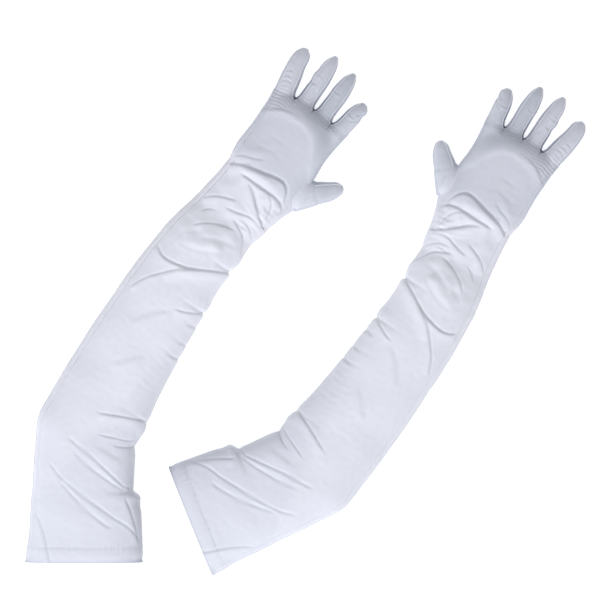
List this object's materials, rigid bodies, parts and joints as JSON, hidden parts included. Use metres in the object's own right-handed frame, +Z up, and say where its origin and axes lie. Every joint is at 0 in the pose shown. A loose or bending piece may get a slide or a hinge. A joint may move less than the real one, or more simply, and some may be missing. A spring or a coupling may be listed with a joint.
{
  "type": "pair of opera gloves",
  "caption": "Pair of long elbow-length dress gloves in smooth stretch satin, lying palm down, with open cuffs, fourchette fingers and set-in thumbs.",
  "frame": {"origin": "centre of the pair's footprint, on the surface that the gloves lie on", "axes": "+Z up out of the surface, towards the backs of the hands; +Y from the left glove's cuff towards its fingers; +X towards the right glove, along the pair's longest extent"},
  "size_m": [0.5747, 0.5391, 0.036],
  "materials": {
    "satin": "satin",
    "facing": "satin",
    "thread": "matte",
    "elastic": "matte"
  },
  "bodies": {
    "left_forearm": {"left_forearm_sleeve": "satin", "left_forearm_seam": "thread"},
    "left_upper": {"left_upper_sleeve": "satin", "left_upper_seam": "thread", "left_hem_facing": "facing", "left_hem_elastic": "elastic", "left_hem_stitching": "thread"},
    "left_hand": {"left_hand_back": "satin", "left_hand_palm": "satin", "left_hand_seam": "thread"},
    "left_little": {"left_little_back": "satin", "left_little_palm": "satin", "left_little_radial_fourchette": "satin", "left_little_seam": "thread"},
    "left_ring": {"left_ring_back": "satin", "left_ring_palm": "satin", "left_ring_ulnar_fourchette": "satin", "left_ring_radial_fourchette": "satin"},
    "left_middle": {"left_middle_back": "satin", "left_middle_palm": "satin", "left_middle_ulnar_fourchette": "satin", "left_middle_radial_fourchette": "satin"},
    "left_index": {"left_index_back": "satin", "left_index_palm": "satin", "left_index_ulnar_fourchette": "satin"},
    "left_thumb": {"left_thumb": "satin", "left_thumb_seam": "thread"},
    "right_upper": {"right_upper_sleeve": "satin", "right_upper_seam": "thread", "right_hem_facing": "facing", "right_hem_elastic": "elastic", "right_hem_stitching": "thread"},
    "right_forearm": {"right_forearm_sleeve": "satin", "right_forearm_seam": "thread"},
    "right_hand": {"right_hand_back": "satin", "right_hand_palm": "satin", "right_hand_seam": "thread"},
    "right_little": {"right_little_back": "satin", "right_little_palm": "satin", "right_little_radial_fourchette": "satin", "right_little_seam": "thread"},
    "right_ring": {"right_ring_back": "satin", "right_ring_palm": "satin", "right_ring_ulnar_fourchette": "satin", "right_ring_radial_fourchette": "satin"},
    "right_middle": {"right_middle_back": "satin", "right_middle_palm": "satin", "right_middle_ulnar_fourchette": "satin", "right_middle_radial_fourchette": "satin"},
    "right_index": {"right_index_back": "satin", "right_index_palm": "satin", "right_index_ulnar_fourchette": "satin"},
    "right_thumb": {"right_thumb": "satin", "right_thumb_seam": "thread"}
  },
  "joints": [
    {"name": "left_elbow", "type": "hinge", "parent": "left_forearm", "child": "left_upper", "pos_m": [-0.2216, -0.1183, 0.015], "axis": [0, 0, 1], "range_deg": [-33, 15]},
    {"name": "left_wrist", "type": "hinge", "parent": "left_forearm", "child": "left_hand", "pos_m": [-0.06187, 0.1141, 0.012], "axis": [0, 0, 1], "range_deg": [-24, 12]},
    {"name": "left_little_fold", "type": "hinge", "parent": "left_hand", "child": "left_little", "pos_m": [-0.02129, 0.22324, 0.015], "axis": [0.9323, -0.3616, 0], "range_deg": [0, 70]},
    {"name": "left_ring_fold", "type": "hinge", "parent": "left_hand", "child": "left_ring", "pos_m": [-0.0004, 0.21265, 0.015], "axis": [0.8394, -0.5435, 0], "range_deg": [0, 70]},
    {"name": "left_middle_fold", "type": "hinge", "parent": "left_hand", "child": "left_middle", "pos_m": [0.01827, 0.19968, 0.015], "axis": [0.8022, -0.5971, 0], "range_deg": [0, 70]},
    {"name": "left_index_fold", "type": "hinge", "parent": "left_hand", "child": "left_index", "pos_m": [0.03503, 0.18577, 0.015], "axis": [0.7314, -0.682, 0], "range_deg": [0, 70]},
    {"name": "left_thumb_fold", "type": "hinge", "parent": "left_hand", "child": "left_thumb", "pos_m": [-0.00217, 0.11654, 0.016], "axis": [-0.5835, -0.8121, 0], "range_deg": [0, 60]},
    {"name": "right_elbow", "type": "hinge", "parent": "right_forearm", "child": "right_upper", "pos_m": [0.0084, -0.1583, 0.015], "axis": [0, 0, -1], "range_deg": [-33, 15]},
    {"name": "right_wrist", "type": "hinge", "parent": "right_forearm", "child": "right_hand", "pos_m": [0.16405, 0.07686, 0.012], "axis": [0, 0, -1], "range_deg": [-24, 12]},
    {"name": "right_little_fold", "type": "hinge", "parent": "right_hand", "child": "right_little", "pos_m": [0.25004, 0.15537, 0.015], "axis": [0.6845, -0.729, 0], "range_deg": [0, 70]},
    {"name": "right_ring_fold", "type": "hinge", "parent": "right_hand", "child": "right_ring", "pos_m": [0.23239, 0.17077, 0.015], "axis": [0.8183, -0.5747, 0], "range_deg": [0, 70]},
    {"name": "right_middle_fold", "type": "hinge", "parent": "right_hand", "child": "right_middle", "pos_m": [0.21337, 0.18323, 0.015], "axis": [0.8541, -0.5201, 0], "range_deg": [0, 70]},
    {"name": "right_index_fold", "type": "hinge", "parent": "right_hand", "child": "right_index", "pos_m": [0.19419, 0.19355, 0.015], "axis": [0.9063, -0.4226, 0], "range_deg": [0, 70]},
    {"name": "right_thumb_fold", "type": "hinge", "parent": "right_hand", "child": "right_thumb", "pos_m": [0.14394, 0.13312, 0.016], "axis": [0.5344, 0.8452, 0], "range_deg": [0, 60]},
    {"name": "right_glove_lift", "type": "slide", "parent": "left_forearm", "child": "right_forearm", "axis": [0, 0, 1], "range_m": [0, 0.1]}
  ]
}
